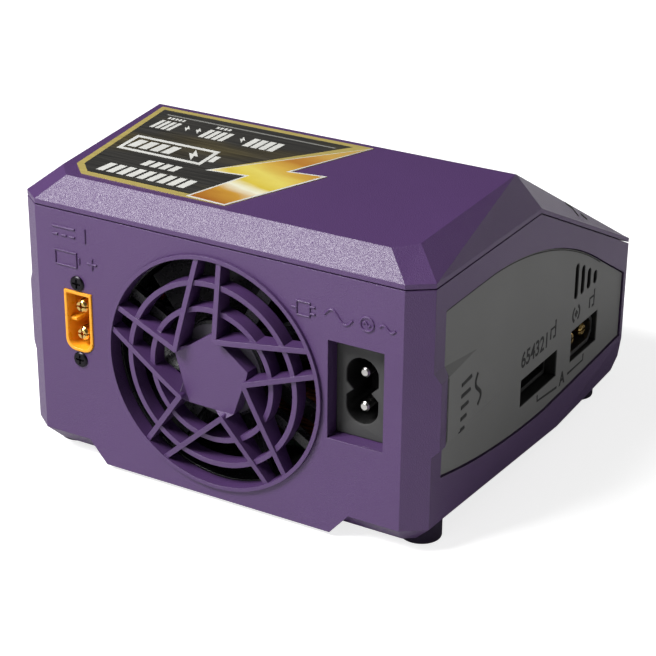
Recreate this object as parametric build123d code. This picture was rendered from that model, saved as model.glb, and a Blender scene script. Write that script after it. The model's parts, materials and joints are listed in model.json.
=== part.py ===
"""Two-channel balance battery charger, built as its separate physical pieces.

Millimetres. +Z is up and z = 0 is the surface the feet stand on. The fan, the DC input
and the mains inlet face +Y. The sloped display panel and its controls face -Y. The
outputs of channel A face -X and those of channel B face +X.

Positions along the body are stations, measured forwards from the rear face.
"""

import math
import os

from build123d import *

# ---------------------------------------------------------------- driving dimensions
WIDTH = 111.4  # across the flat sides
DEPTH = 120.0  # rear face to front face
REAR_Y = 58.6  # rear face in the part's frame
CORNER_X = 5.5  # plan corner chamfers
CORNER_Y = 4.2
UNDER_Z = 2.4  # underside of the shell
FLOOR_Z = 4.0  # top of the shell's floor
SEAM_Z = 66.4  # parting line of base and cover, level at the rear
SEAM_BREAK = 57.5  # station where the parting line starts to fall
SEAM_FALL = 0.467  # fall per millimetre forwards
SEAM_GAP = 0.35
SKIN = 2.2  # cover wall
SIDE_INNER = 51.4  # half width of the hollow
REAR_INNER = 3.2  # stations of the hollow's ends
FRONT_INNER = 117.4

TOP_REAR = (4.8, 73.6)  # (station, height) of the top plane's rear edge
RIDGE = (53.0, 76.9)
TOP_FRONT = (119.2, 39.1)
TOP_HALF_REAR = 44.0  # half widths of the top plane along its length
TOP_HALF_CORNER = 48.7
TOP_HALF_RIDGE = 50.7
CORNER_STATION = 9.7

FAN_Z = 34.0
FAN_SIZE = 59.8
FAN_THICK = 15.0
FAN_PITCH = 50.0
FAN_AT = 3.45  # station of the frame's rear face
WIRE_ANGLE = 60.0  # strut that carries the leads
GRILLE_R = 29.7
GRILLE_RIM = 1.0
HUB_R = 12.5

PANEL_FACE = 55.2  # half width over the side panels
PANEL_BACK = 52.8
PANEL_REAR = 9.5
PANEL_FRONT = 113.8
PAD_PROUD = 57.2  # half width over the raised corner pads
PAD_LOW, PAD_HIGH = 27.0, 43.5
PORT_GAP = 0.3

BALANCE_AT = (62.6, 21.15)  # (station, height) of the balance socket's middle
BALANCE_HOLE = (21.2, 7.4)
BALANCE_PINS = 7
OUTPUT_AT = (90.05, 22.0)
OUTPUT_HOLE = (16.6, 8.8)
VENT_SLOTS = ((83.1, 44.7), (87.1, 42.9), (91.1, 40.7), (95.2, 38.7))  # (station, top)
VENT_FOOT = 35.0
VENT_HALF = 1.15  # half width of a slot

DC_AT = (38.45, 38.5)  # (x, z) of the DC input
AC_AT = (-38.35, 38.15)  # (x, z) of the mains inlet's recess
AC_HOLE = (14.4, 24.5)
AC_RECESS = 3.9
AC_SOCKET = (-37.9, 37.65)  # middle of its two pins
AC_WELL = (8.2, 16.4)
PIN_R, PIN_SHANK_R = 1.75, 2.2  # pins of the DC input and the outputs

FOOT_X, FOOT_R = 49.4, 5.0
FOOT_STATIONS = (12.5, 100.0)
POST_X = 46.4
POST_STATIONS = (31.0, 109.5)
POST_TOPS = (60.0, 35.0)
TONGUE_END = 104.0  # station where the lap joint stops

BOARD_T = 1.6
POWER_BOARD_Z = 8.0
OUTPUT_BOARD_Z = 16.3

APRON = [(-36.9, 9), (-36.9, 7.0), (-31.9, 1.3), (31.9, 1.3), (36.9, 7.0), (36.9, 9)]
BOARD_STUDS = [(x, s) for x in (-34.0, 34.0) for s in (28.0, 56.0, 97.0)]
USB_Z = 19.6
CORE = Vector(0, 0, 40)


# ---------------------------------------------------------------- helpers
def y_at(station):
    """Y of a station measured forwards from the rear face."""
    return REAR_Y - station


def seam_at(station):
    """Height of the parting line at a station."""
    return SEAM_Z - SEAM_FALL * max(0.0, station - SEAM_BREAK)


def box(x0, x1, s0, s1, z0, z1):
    """Box between two x, two stations and two heights."""
    size = (abs(x1 - x0), abs(s1 - s0), abs(z1 - z0))
    centre = ((x0 + x1) / 2, y_at((s0 + s1) / 2), (z0 + z1) / 2)
    return Pos(*centre) * Box(*size)


def post(x, station, radius, z0, z1):
    """Upright cylinder."""
    return Pos(x, y_at(station), (z0 + z1) / 2) * Cylinder(radius, z1 - z0)


def rod(x, z, radius, s0, s1):
    """Cylinder lying along Y between two stations."""
    return Pos(x, y_at((s0 + s1) / 2), z) * Rot(90, 0, 0) * Cylinder(radius, abs(s1 - s0))


def bar_x(station, z, radius, x0, x1):
    """Cylinder lying along X."""
    return Pos((x0 + x1) / 2, y_at(station), z) * Rot(0, 90, 0) * Cylinder(radius, abs(x1 - x0))


def tube(x, z, outer, inner, s0, s1):
    """Hollow cylinder lying along Y."""
    return rod(x, z, outer, s0, s1) - rod(x, z, inner, s0 - 1, s1 + 1)


def face_prism(face, s0, s1):
    """Extrude an (x, z) face from one station forwards to another."""
    return Plane(origin=(0, y_at(s0), 0), x_dir=(1, 0, 0), z_dir=(0, -1, 0)) * extrude(face, s1 - s0)


def plan_prism(points, z0, z1):
    """Upright prism on a plan outline of (x, station) points."""
    outline = Polyline(*[(x, y_at(s)) for x, s in points], close=True)
    return Pos(0, 0, z0) * extrude(make_face(outline), z1 - z0)


def trim(solid, a, b, c, inset=0.0):
    """Cut off what lies outside the plane through three points, moved inwards by inset."""
    a, b, c = Vector(*a), Vector(*b), Vector(*c)
    normal = (b - a).cross(c - a).normalized()
    if (CORE - a).dot(normal) > 0:
        normal = normal * -1
    side = Plane(origin=a - normal * inset, z_dir=normal)
    return solid - side * Pos(0, 0, 150) * Box(500, 500, 300)


def footprint(inset):
    """Plan outline of the body with chamfered corners, as (x, station) points."""
    half = WIDTH / 2
    flat = half - CORNER_X
    cut = inset * 0.45
    return [
        (-flat + cut, inset), (flat - cut, inset),
        (half - inset, CORNER_Y + cut), (half - inset, DEPTH - CORNER_Y - cut),
        (flat - cut, DEPTH - inset), (-flat + cut, DEPTH - inset),
        (-half + inset, DEPTH - CORNER_Y - cut), (-half + inset, CORNER_Y + cut),
    ]


def below_seam(solid, lift=0.0):
    """Keep what lies under the parting surface, raised by lift."""
    level, drop = SEAM_Z + lift, SEAM_FALL * 50
    solid = trim(solid, (-1, y_at(0), level), (1, y_at(0), level), (0, y_at(9), level))
    front = y_at(SEAM_BREAK)
    return trim(solid, (-1, front, level), (1, front, level), (0, front - 50, level - drop))


def cut_underside(solid, inset=0.0):
    """Bevel the lower edges as on the outer form, offset inwards by inset."""
    half, flat = WIDTH / 2, WIDTH / 2 - CORNER_X
    low = UNDER_Z
    solid = trim(solid, (-1, y_at(0), 7.0), (1, y_at(0), 7.0), (0, y_at(4.6), low), inset)
    solid = trim(solid, (-1, y_at(DEPTH), 9.0), (1, y_at(DEPTH), 9.0), (0, y_at(113.4), low), inset)
    for s in (-1, 1):
        rear = (s * half, y_at(0), 7.3)
        solid = trim(solid, rear, (s * half, y_at(75), 2.5), (s * (half - 4.6), y_at(0), 2.7), inset)
        crease = (s * half, y_at(80), 4.0)
        solid = trim(solid, crease, (s * half, y_at(116), 11.6), (s * (half - 1.5), y_at(116), 2.6), inset)
        corner = (s * flat, y_at(0), 7.0)
        solid = trim(solid, corner, (s * half, y_at(CORNER_Y), 7.0), (s * (flat - 2.8), y_at(3.66), low), inset)
    return solid


def faceted(faces):
    """Closed solid from lists of corner points."""
    sheets = [Face(Wire.make_polygon([Vector(*p) for p in face], close=True)) for face in faces]
    return Solid(Shell(sheets))


def slab_on(plane, width, height, x, y, z0, z1, radius=0.0):
    """Rounded plate on a plane, between two depths along its normal."""
    sketch = RectangleRounded(width, height, radius) if radius else Rectangle(width, height)
    return plane * Pos(x, y, z0) * extrude(sketch, z1 - z0)


# ---------------------------------------------------------------- planes of the slope and top
fall = math.hypot(TOP_FRONT[0] - RIDGE[0], RIDGE[1] - TOP_FRONT[1])
SLOPE_COS = (TOP_FRONT[0] - RIDGE[0]) / fall
SLOPE_SIN = (RIDGE[1] - TOP_FRONT[1]) / fall
SLOPE = Plane(origin=(0, y_at(RIDGE[0]), RIDGE[1]), x_dir=(1, 0, 0), z_dir=(0, -SLOPE_SIN, SLOPE_COS))
rise = math.hypot(RIDGE[0] - TOP_REAR[0], RIDGE[1] - TOP_REAR[1])
TOP_COS = (RIDGE[0] - TOP_REAR[0]) / rise
TOP_SIN = (RIDGE[1] - TOP_REAR[1]) / rise
TOP = Plane(origin=(0, y_at(TOP_REAR[0]), TOP_REAR[1]), x_dir=(-1, 0, 0), z_dir=(0, TOP_SIN, TOP_COS))


def top_z(station):
    """Height of the top surface at a station, before and after the ridge."""
    if station <= RIDGE[0]:
        return TOP_REAR[1] + (station - TOP_REAR[0]) * TOP_SIN / TOP_COS
    return RIDGE[1] - (station - RIDGE[0]) * SLOPE_SIN / SLOPE_COS


# ---------------------------------------------------------------- cover
def roof(inset, base_lift, rim):
    """Faceted outer or inner form of the cover, one half mirrored to the other."""
    half, flat = WIDTH / 2 - inset, WIDTH / 2 - CORNER_X - inset * 0.45
    near, far = inset, DEPTH - inset
    near_side, far_side = CORNER_Y + inset * 0.45, DEPTH - CORNER_Y - inset * 0.45
    low = [(flat, near), (half, near_side), (half, SEAM_BREAK), (half, far_side), (flat, far)]
    bottom = [(x, y_at(s), seam_at(s) + base_lift) for x, s in low]
    band = [(x, y_at(s), seam_at(s) + rim - inset * 0.4) for x, s in low]
    slim = inset * 0.75
    crown = [
        (TOP_HALF_REAR - slim, TOP_REAR[0] + slim),
        (TOP_HALF_CORNER - slim, CORNER_STATION + slim * 0.5),
        (TOP_HALF_RIDGE - slim, RIDGE[0]),
        (half - 1.4 - inset * 0.1, far_side - 0.4),
        (flat - 0.7 - inset * 0.1, TOP_FRONT[0] - inset),
    ]
    top = [(x, y_at(s), top_z(s) - inset * 1.08) for x, s in crown]

    def mirror_point(p):
        return (-p[0], p[1], p[2])

    def strip(lower, upper):
        sheets = []
        for i in range(4):
            sheets.append([lower[i], lower[i + 1], upper[i + 1]])
            sheets.append([lower[i], upper[i + 1], upper[i]])
        return sheets

    sheets = strip(bottom, band) + strip(band, top)
    sheets += [[mirror_point(p) for p in reversed(sheet)] for sheet in sheets]
    for lower, upper in ((bottom, band), (band, top)):
        for end in (0, 4):
            a, b = lower[end], upper[end]
            sheets.append([a, b, mirror_point(b), mirror_point(a)])
    for ring in (bottom, top):
        rear, front = ring[:3], ring[2:]
        sheets.append(rear + [mirror_point(p) for p in reversed(rear)])
        sheets.append(front + [mirror_point(p) for p in reversed(front)])
    return faceted(sheets)


WHEEL_AT = -62.0  # down the slope from the ridge
WHEEL_R, WHEEL_W = 9.0, 7.0
WHEEL_DEPTH = 5.0
BUTTONS = {"channel": -27.0, "back": 27.0}
BUTTON_SIZE = (14.0, 6.0)
WINDOW = (68.0, 44.0)
WINDOW_AT = -28.0
STUDS = [(x, y) for x in (-37.5, 37.5) for y in (-3.5, -55.0)]


def make_cover():
    cover = roof(0.0, SEAM_GAP, 1.5) - roof(SKIN, -6.0, 1.5)
    recess = below_seam(plan_prism(footprint(1.4), 20, 90), 1.75)
    cover -= recess - box(-60, 60, TONGUE_END + 0.3, 130, 0, 99)
    within = roof(1.2, -10.0, 1.5)
    for (s, top) in zip(POST_STATIONS, POST_TOPS):
        for x in (-POST_X, POST_X):
            boss = post(x, s, 3.1, top, top_z(s) + 1) & within
            cover += boss - post(x, s, 1.25, top - 1, top + 7.5)
    for x, y in STUDS:
        stud = SLOPE * Pos(x, y, -5.0) * (Cylinder(2.6, 8.0) - Pos(0, 0, -2) * Cylinder(1.0, 5.0))
        cover += stud
    cover -= slab_on(SLOPE, *WINDOW, 0, WINDOW_AT, -1.25, 2.0, 2.0)
    cover -= slab_on(SLOPE, 62.0, 38.0, 0, WINDOW_AT, -6.0, 2.0, 1.0)
    cover -= slab_on(SLOPE, WHEEL_W + 1.0, 18.0, 0, WHEEL_AT, -6.0, 2.0, 1.5)
    for x in BUTTONS.values():
        cover -= slab_on(SLOPE, BUTTON_SIZE[0] + 0.5, BUTTON_SIZE[1] + 0.5, x, WHEEL_AT, -6.0, 2.0, 3.2)
    return cover


# ---------------------------------------------------------------- side panel outline
def panel_outline(grow, rear=PANEL_REAR):
    """Side panel outline as a face in (station, height), grown outwards by grow."""
    a, b = rear - grow, PANEL_FRONT + grow
    edges = [
        Line((a, 18.4 - grow), (a, 59.4 + grow)),
        Line((a, 59.4 + grow), (34.0, 59.6 + grow)),
        ThreePointArc((34.0, 59.6 + grow), (68.0, 53.9 + grow), (97.7, 40.4 + grow)),
        Line((97.7, 40.4 + grow), (b, 31.2 + grow * 0.6)),
        Line((b, 31.2 + grow * 0.6), (b, 13.1 - grow)),
        ThreePointArc((b, 13.1 - grow), (90.0, 12.0 - grow), (66.0, 11.1 - grow)),
        ThreePointArc((66.0, 11.1 - grow), (40.0, 12.9 - grow), (a, 18.4 - grow)),
    ]
    return make_face(Curve() + edges)


def side_plane(s, x):
    """Plane at half width x on one side; local (station, height) run forwards and up."""
    return Plane(origin=(s * x, REAR_Y, 0), x_dir=(0, -1, 0), z_dir=(-1, 0, 0))


def side_prism(face, s, x0, x1):
    """Extrude a (station, height) face between two half widths on side s."""
    low, high = sorted((s * x0, s * x1))
    return Plane(origin=(high, REAR_Y, 0), x_dir=(0, -1, 0), z_dir=(-1, 0, 0)) * extrude(face, high - low)


def corner_pad(s):
    """Purple share of the raised corner pad, flush with the plan chamfer."""
    half, flat = WIDTH / 2, WIDTH / 2 - CORNER_X
    out = PAD_PROUD - flat
    plan = [(s * flat, 0), (s * PAD_PROUD, out * CORNER_Y / CORNER_X), (s * (PAD_PROUD - 0.1), 8.0),
            (s * (PAD_PROUD - 0.5), PANEL_REAR - PORT_GAP), (s * flat, PANEL_REAR - PORT_GAP)]
    pad = plan_prism(plan, PAD_LOW - 1.5, PAD_HIGH + 2.8)
    for z_in, z_out in ((PAD_HIGH + 2.8, PAD_HIGH), (PAD_LOW - 1.5, PAD_LOW)):
        a, b = (s * half, y_at(0), z_in), (s * half, y_at(9), z_in)
        pad = trim(pad, a, b, (s * PAD_PROUD, y_at(5), z_out))
    return pad


def make_panel(s):
    """Side panel with its raised pad, two ports and four vent slots."""
    panel = side_prism(panel_outline(0.0), s, PANEL_BACK, PANEL_FACE)
    rear, proud = y_at(PANEL_REAR), PAD_PROUD - 0.5
    root = PANEL_FACE - 0.4
    foot = [(root, PANEL_REAR, PAD_LOW - 1.2), (root, PANEL_REAR, PAD_HIGH + 2.8),
            (root, 29.0, PAD_HIGH + 2.8), (root, 45.0, PAD_LOW - 1.2)]
    rim = [(proud, PANEL_REAR, PAD_LOW), (proud, PANEL_REAR, PAD_HIGH),
           (PANEL_FACE, 26.5, PAD_HIGH), (PANEL_FACE, 41.0, PAD_LOW)]
    low = [(s * x, y_at(st), z) for x, st, z in foot]
    high = [(s * x, y_at(st), z) for x, st, z in rim]
    sheets = [[low[0], low[1], low[2]], [low[0], low[2], low[3]],
              [high[0], high[1], high[3]], [high[1], high[2], high[3]]]
    for i in range(4):
        j = (i + 1) % 4
        sheets += [[low[i], low[j], high[j]], [low[i], high[j], high[i]]]
    pad = faceted(sheets)
    panel += pad
    for (st, z), (w, h) in ((BALANCE_AT, BALANCE_HOLE), (OUTPUT_AT, OUTPUT_HOLE)):
        rim = 0.7  # collar that reaches through the shell's window
        panel += box(s * 51.2, s * 53.0, st - w / 2 - rim, st + w / 2 + rim, z - h / 2 - rim, z + h / 2 + rim)
        panel -= box(s * 50, s * 60, st - w / 2, st + w / 2, z - h / 2, z + h / 2)
    for st, top in VENT_SLOTS:
        z_low, z_high = VENT_FOOT + VENT_HALF, top - VENT_HALF
        panel -= box(s * 50, s * 60, st - VENT_HALF, st + VENT_HALF, z_low, z_high)
        for z in (z_low, z_high):
            panel -= bar_x(st, z, VENT_HALF, s * 50, s * 60)
    return panel


# ---------------------------------------------------------------- base shell
def make_base():
    shell = below_seam(plan_prism(footprint(0.0), UNDER_Z, 80))
    shell = cut_underside(shell)
    tongue = plan_prism(footprint(1.6), 60, 90) - plan_prism(footprint(2.8), 59, 91)
    sloped = plan_prism(footprint(1.6), 34, 90) - plan_prism(footprint(2.8), 33, 91)
    sloped -= box(-60, 60, -5, SEAM_BREAK, 0, 99)
    sloped -= box(-60, 60, TONGUE_END, 130, 0, 99)
    shell += below_seam(tongue - box(-60, 60, SEAM_BREAK, 130, 0, 99), 1.4)
    shell += below_seam(sloped, 1.4)
    for s in (-1, 1):
        shell += corner_pad(s)
    shell += face_prism(make_face(Polyline(*APRON, close=True)), 0, 5.2)
    x, c = SIDE_INNER, 2.4
    hollow = plan_prism([(-x + c, REAR_INNER), (x - c, REAR_INNER), (x, REAR_INNER + 1.9), (x, FRONT_INNER - 2),
                         (x - c, FRONT_INNER), (-x + c, FRONT_INNER), (-x, FRONT_INNER - 2),
                         (-x, REAR_INNER + 1.9)], FLOOR_Z, 99)
    shell -= cut_underside(hollow, 2.0)
    half = FAN_SIZE / 2 + 0.2
    shell -= box(-half, half, REAR_INNER, FAN_AT + FAN_THICK, FLOOR_Z, FAN_Z + half)

    # moulded bosses on the floor and behind the inlets
    for (s, top) in zip(POST_STATIONS, POST_TOPS):
        for x in (-POST_X, POST_X):
            shell += post(x, s, 3.6, UNDER_Z + 0.4, top - 0.1)
    for x, s in BOARD_STUDS:
        shell += post(x, s, 2.6, UNDER_Z + 0.4, POWER_BOARD_Z) - post(x, s, 1.1, UNDER_Z + 1.4, 12)
    ax, az = AC_AT
    w, h = AC_HOLE
    shell += box(ax - w / 2 - 1.5, -half - 0.05, 1, 12, az - h / 2 - 1.5, az + h / 2 + 1.5)

    # openings in the rear wall
    shell -= rod(0, FAN_Z, GRILLE_R + 0.02, -2, REAR_INNER + 1)
    shell -= box(ax - w / 2, ax + w / 2, -2, 13, az - h / 2, az + h / 2)
    shell -= face_prism(dc_outline(8.3, 15.9), -2, 8)
    for dz in (-10, 10):
        shell -= rod(DC_AT[0], DC_AT[1] + dz, 1.35, -1, 6)
    for x in (-1, 1):
        for z in (-1, 1):
            shell -= rod(x * FAN_PITCH / 2, FAN_Z + z * FAN_PITCH / 2, 1.7, 1.2, 5)

    # side pockets for the panels, with windows behind the ports and vents
    for s in (-1, 1):
        shell -= side_prism(panel_outline(PORT_GAP), s, PANEL_BACK - 0.05, 60)
        for (st, z), (w, h) in ((BALANCE_AT, BALANCE_HOLE), (OUTPUT_AT, OUTPUT_HOLE)):
            shell -= box(s * 50, s * 60, st - w / 2 - 0.8, st + w / 2 + 0.8, z - h / 2 - 0.8, z + h / 2 + 0.8)
        vents = box(s * 50, s * 60, 81.6, 96.8, VENT_FOOT - 1, 45.6)
        shell -= vents & side_prism(panel_outline(-1.5), s, 50, 60)

    # screw wells, USB opening, floor vents and foot sockets
    for (s, top) in zip(POST_STATIONS, POST_TOPS):
        for x in (-POST_X, POST_X):
            shell -= post(x, s, 2.7, 0, top - 6.0)
            shell -= post(x, s, 1.6, 0, top + 1)
    shell -= face_prism(Pos(0, USB_Z) * RectangleRounded(9.6, 3.8, 1.85), FRONT_INNER - 1, DEPTH + 1)
    for i in range(9):
        st = 46.0 + 5.5 * i
        for s in (-1, 1):
            shell -= box(s * 6, s * 30, st, st + 2.4, 0, 6)
    for st in FOOT_STATIONS:
        for x in (-FOOT_X, FOOT_X):
            shell -= post(x * 0.985, st, 1.5, 0, 3.4)
    return shell


# ---------------------------------------------------------------- rear connectors
def dc_outline(width, height, centre=DC_AT):
    """Outline of the two-pole connector: square above, rounded corners below, in (x, z)."""
    x, z = centre
    w, h, c = width / 2, height / 2, width * 0.36
    k = c * (1 - 0.7071)
    edges = [
        Polyline((x - w, z - h + c), (x - w, z + h), (x + w, z + h), (x + w, z - h + c)),
        ThreePointArc((x + w, z - h + c), (x + w - k, z - h + k), (x + w - c, z - h)),
        Line((x + w - c, z - h), (x - w + c, z - h)),
        ThreePointArc((x - w + c, z - h), (x - w + k, z - h + k), (x - w, z - h + c)),
    ]
    return make_face(Curve() + edges)


def split_pin(radius, length, slot, shank):
    """Round pin along +Z from the origin, thicker over its shank and split at its tip."""
    pin = Pos(0, 0, length / 2) * Cylinder(radius, length)
    pin = chamfer(pin.edges().sort_by(Axis.Z)[-1], radius * 0.3)
    for turn in (0, 90):
        pin -= Pos(0, 0, length) * Rot(0, 0, turn) * Box(radius * 3, 0.4, slot * 2)
    pin -= Pos(0, 0, length) * Cylinder(0.5, slot * 2)
    return pin + Pos(0, 0, shank / 2) * Cylinder(PIN_SHANK_R, shank)


def make_dc_inlet():
    x, z = DC_AT
    body = face_prism(dc_outline(8.2, 15.8), -0.4, 13.0)
    body -= face_prism(dc_outline(6.4, 14.0), -1, 9.0)
    flange = RectangleRounded(8.2, 27.0, 3.5)
    body += face_prism(Pos(x, z) * flange, REAR_INNER, REAR_INNER + 2.4) - face_prism(dc_outline(6.4, 14.0), 0, 9)
    body += box(x + 1.2, x + 3.6, 0.7, 9.4, z - 0.45, z + 0.45)  # polarising rib
    for dz in (-10, 10):
        body -= rod(x, z + dz, 1.05, 2, 7)
    for dz in (-3.6, 3.6):
        body -= rod(x, z + dz, PIN_SHANK_R, 8, 14)
    pin = Rot(-90, 0, 0) * split_pin(PIN_R, 15.2, 3.2, 7.0)
    pins = [Pos(x, y_at(16.0), z + dz) * pin for dz in (-3.6, 3.6)]
    screws = []
    for dz in (-10, 10):
        head = chamfer(rod(x, z + dz, 1.95, -0.55, 0.0).edges().sort_by(Axis.Y)[-1], 0.25)
        screw = head + rod(x, z + dz, 1.0, 0.0, 5.6)
        screw = screw - cross_recess(x, z + dz, -0.55)
        screws.append(screw)
    return body, pins, screws


def cross_recess(x, z, station):
    """Cross slot of a small screw facing the rear."""
    wide = Box(2.4, 1.2, 0.5) + Box(0.5, 1.2, 2.4)
    return Pos(x, y_at(station), z) * wide


def make_ac_inlet():
    x, z = AC_AT
    w, h = AC_HOLE
    body = box(x - w / 2, x + w / 2, AC_RECESS, 20.0, z - h / 2, z + h / 2)
    x, z = AC_SOCKET
    r = AC_WELL[0] / 2
    well = Pos(x, z) * RectangleRounded(*AC_WELL, r - 0.01)
    for side in (-1, 1):
        notch = Polyline((x + side * 2.25, z), (x + side * (r + 1), z + 2.7), (x + side * (r + 1), z - 2.7), close=True)
        well -= make_face(notch)
    body -= face_prism(well, AC_RECESS - 1, AC_RECESS + 12.0)
    pins = []
    for dz in (-4.3, 4.3):
        body -= rod(x, z + dz, 1.5, 14, 21)
        pin = rod(x, z + dz, 1.2, AC_RECESS + 1.0, 18)
        pin = chamfer(pin.edges().sort_by(Axis.Y)[-1], 0.4)
        pins.append(pin + rod(x, z + dz, 1.5, AC_RECESS + 12.0, 22.5))
    return body, pins


# ---------------------------------------------------------------- side sockets
def output_outline(width, height):
    """Outline of the output connector in (station, z), cut corners towards the front."""
    st, z = OUTPUT_AT
    w, h, c = width / 2, height / 2, height * 0.3
    return make_face(Polyline((st - w, z - h), (st - w, z + h), (st + w - c, z + h), (st + w, z + h - c),
                              (st + w, z - h + c), (st + w - c, z - h), close=True))


def make_output(s):
    st, z = OUTPUT_AT
    body = side_prism(output_outline(16.0, 8.1), s, 38.0, 54.0)
    body -= side_prism(output_outline(13.8, 5.9), s, 43.0, 56.0)
    pins = []
    for d in (-3.6, 3.6):
        body -= bar_x(st + d, z, PIN_SHANK_R, s * 36, s * 44)
        pin = Pos(s * 36.5, y_at(st + d), z) * Rot(0, s * 90, 0) * split_pin(PIN_R, 16.9, 3.2, 6.5)
        pins.append(pin)
    return body, pins


def make_balance(s):
    st, z = BALANCE_AT
    body = box(s * 40.5, s * 52.2, st - 10.2, st + 10.2, OUTPUT_BOARD_Z + BOARD_T, z + 3.1)
    body -= box(s * 43.0, s * 53.0, st - 9.3, st + 9.3, z - 2.2, z + 2.3)
    for d in (-7.0, 7.0):
        body -= box(s * 44.0, s * 53.0, st + d - 1.1, st + d + 1.1, z + 2, z + 4)
    pins = []
    for i in range(BALANCE_PINS):
        p = st + 2.5 * (i - (BALANCE_PINS - 1) / 2)
        pin = box(s * 39.0, s * 50.0, p - 0.32, p + 0.32, z - 0.32, z + 0.32)
        body -= box(s * 39.0, s * 44.0, p - 0.32, p + 0.32, z - 0.32, z + 0.32)
        pins.append(pin)
    return body, pins


# ---------------------------------------------------------------- fan
STAR_TURN = 76.9  # first inner corner of the star, seen from the rear
STAR_R = 10.2
STAR_PEAK = -2.8  # station of the star's ridge at its inner corners
STAR_ARMS = (8.3, -51.7)  # turn of each arm's rim end from its inner corner
BAR = 1.3
RING_FACE = -0.7
PLATE_FACE = -0.6


def rear_polar(radius, angle):
    """Point in (x, z) at a radius and angle about the fan, as seen from the rear."""
    a = math.radians(angle)
    return (-radius * math.cos(a), FAN_Z + radius * math.sin(a))


def bar_face(p, q, width):
    """Straight bar between two (x, z) points."""
    dx, dz = q[0] - p[0], q[1] - p[1]
    k = width / 2 / math.hypot(dx, dz)
    nx, nz = -dz * k, dx * k
    return make_face(Polyline((p[0] + nx, p[1] + nz), (q[0] + nx, q[1] + nz),
                              (q[0] - nx, q[1] - nz), (p[0] - nx, p[1] - nz), close=True))


def make_grille():
    """Finger guard: rim, two rings and a star that rises outwards to its inner corners."""
    inner = GRILLE_R - GRILLE_RIM
    rings = tube(0, FAN_Z, GRILLE_R, inner, -0.8, REAR_INNER)
    for radius in (22.9, 16.5):
        rings += tube(0, FAN_Z, radius + BAR / 2, radius - BAR / 2, RING_FACE, REAR_INNER)

    star, plate = None, []
    for k in range(5):
        turn = STAR_TURN + 72 * k
        corner = rear_polar(STAR_R, turn)
        for arm in STAR_ARMS:
            bar = face_prism(bar_face(corner, rear_polar(inner + 0.4, turn + arm), BAR), -4, REAR_INNER)
            star = bar if star is None else star + bar
        star += rod(*corner, BAR / 2, -4, REAR_INNER)
        plate += [rear_polar(8.7, turn - 16.5), rear_polar(10.6, turn + 12.6)]
    slope = (-0.4 - STAR_PEAK) / (inner - STAR_R)
    peak = STAR_PEAK - slope * STAR_R
    hull = Plane(origin=(0, y_at(peak), FAN_Z), z_dir=(0, -1, 0)) * Pos(0, 0, 4.5) * Cone(0.01, 9 / slope, 9)
    star = star & hull & rod(0, FAN_Z, inner + 0.5, STAR_PEAK, REAR_INNER)

    # plate and the sloping gusset from each of its short edges up to the star
    star += face_prism(make_face(Polyline(*plate, close=True)), PLATE_FACE, REAR_INNER)
    for k in range(5):
        turn = STAR_TURN + 72 * k
        low = [rear_polar(8.7, turn - 16.5), rear_polar(10.6, turn + 12.6)]
        top = rear_polar(STAR_R + 0.4, turn)
        gusset = face_prism(make_face(Polyline(*low, top, close=True)), STAR_PEAK, REAR_INNER)
        a, b = [(x, y_at(PLATE_FACE), z) for x, z in low]
        star += trim(gusset, a, b, (top[0], y_at(STAR_PEAK + 0.2), top[1]))
    return rings + star


def make_fan():
    back = FAN_AT + FAN_THICK
    square = Pos(0, FAN_Z) * RectangleRounded(FAN_SIZE, FAN_SIZE, 3.0)
    frame = face_prism(square, FAN_AT, back) - rod(0, FAN_Z, 28.4, 0, 25)
    frame += rod(0, FAN_Z, 12.2, FAN_AT, FAN_AT + 2.2)
    for k in range(4):
        a = WIRE_ANGLE + 90 * k
        strut = bar_face(rear_polar(11.0, a), rear_polar(28.8, a), 3.6 if k == 0 else 2.4)
        frame += face_prism(strut, FAN_AT, FAN_AT + 1.4 if k == 0 else FAN_AT + 2.2)
    frame += tube(0, FAN_Z, 3.2, 2.5, FAN_AT + 2.0, 13.4)
    frame -= rod(0, FAN_Z, 2.5, FAN_AT + 0.8, 14)
    for x in (-1, 1):
        for z in (-1, 1):
            frame -= rod(x * FAN_PITCH / 2, FAN_Z + z * FAN_PITCH / 2, 2.2, 0, 30)
    frame -= face_prism(bar_face(rear_polar(27.0, WIRE_ANGLE), rear_polar(44.0, WIRE_ANGLE), 3.4),
                        FAN_AT + 1.4, FAN_AT + 4.6)
    bearing = tube(0, FAN_Z, 2.5, 1.05, FAN_AT + 1.0, 13.4)
    stator = tube(0, FAN_Z, 9.8, 3.2, FAN_AT + 2.6, 13.0)
    shaft = rod(0, FAN_Z, 1.0, FAN_AT + 1.4, 17.2)
    rotor = rod(0, FAN_Z, HUB_R, 6.4, 17.8) - rod(0, FAN_Z, 10.6, 5, 16.0)
    rotor += rod(0, FAN_Z, 3.0, 13.9, 16.4)
    blades = None
    for k in range(7):
        blade = Pos(19.6, 0, 0) * Rot(40, 0, 0) * Box(16.4, 14.6, 1.1)
        blade = Rot(0, 0, 360 / 7 * k) * blade
        blades = blade if blades is None else blades + blade
    blades = Pos(0, y_at(12.0), FAN_Z) * Rot(90, 0, 0) * blades
    blades = (blades & rod(0, FAN_Z, 27.7, 6.4, 17.8)) - rod(0, FAN_Z, HUB_R - 0.6, 0, 30)
    rotor = (rotor + blades) - rod(0, FAN_Z, 1.0, 0, 17.2)
    label = rod(0, FAN_Z, 11.4, FAN_AT - 0.2, FAN_AT)
    screws = []
    for x in (-1, 1):
        for z in (-1, 1):
            sx, sz = x * FAN_PITCH / 2, FAN_Z + z * FAN_PITCH / 2
            screws.append(rod(sx, sz, 3.4, back, back + 2.0) + rod(sx, sz, 1.65, 1.4, back))
    return frame, bearing, stator, shaft, rotor, label, screws


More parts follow.
